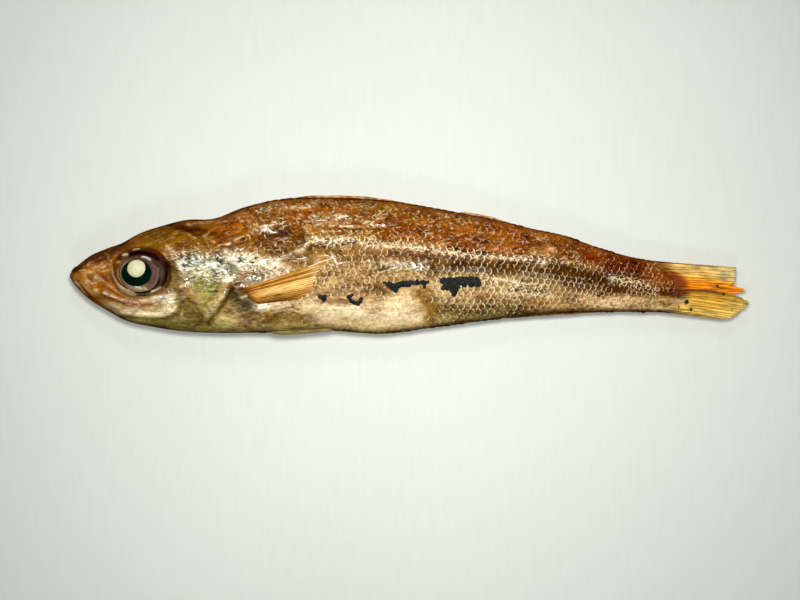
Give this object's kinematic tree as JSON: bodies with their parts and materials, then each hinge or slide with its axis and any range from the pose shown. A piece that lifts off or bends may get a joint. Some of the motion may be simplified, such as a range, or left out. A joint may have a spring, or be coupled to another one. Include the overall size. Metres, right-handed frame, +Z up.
{
  "type": "whole smoked fish",
  "caption": "Whole small smoked fish with head, eyes, scales and folded fins, lying flat on its right side.",
  "frame": {"origin": "centre of the fish's outline seen from above, on the surface it lies on", "axes": "+X from the head to the tail, +Y from the belly to the back, +Z up through the left flank"},
  "size_m": [0.1997, 0.0415, 0.021],
  "materials": {
    "smoked_skin": "golden-brown smoked skin with a dry shine"
  },
  "bodies": {
    "root": {"fish": "smoked_skin"}
  },
  "joints": []
}
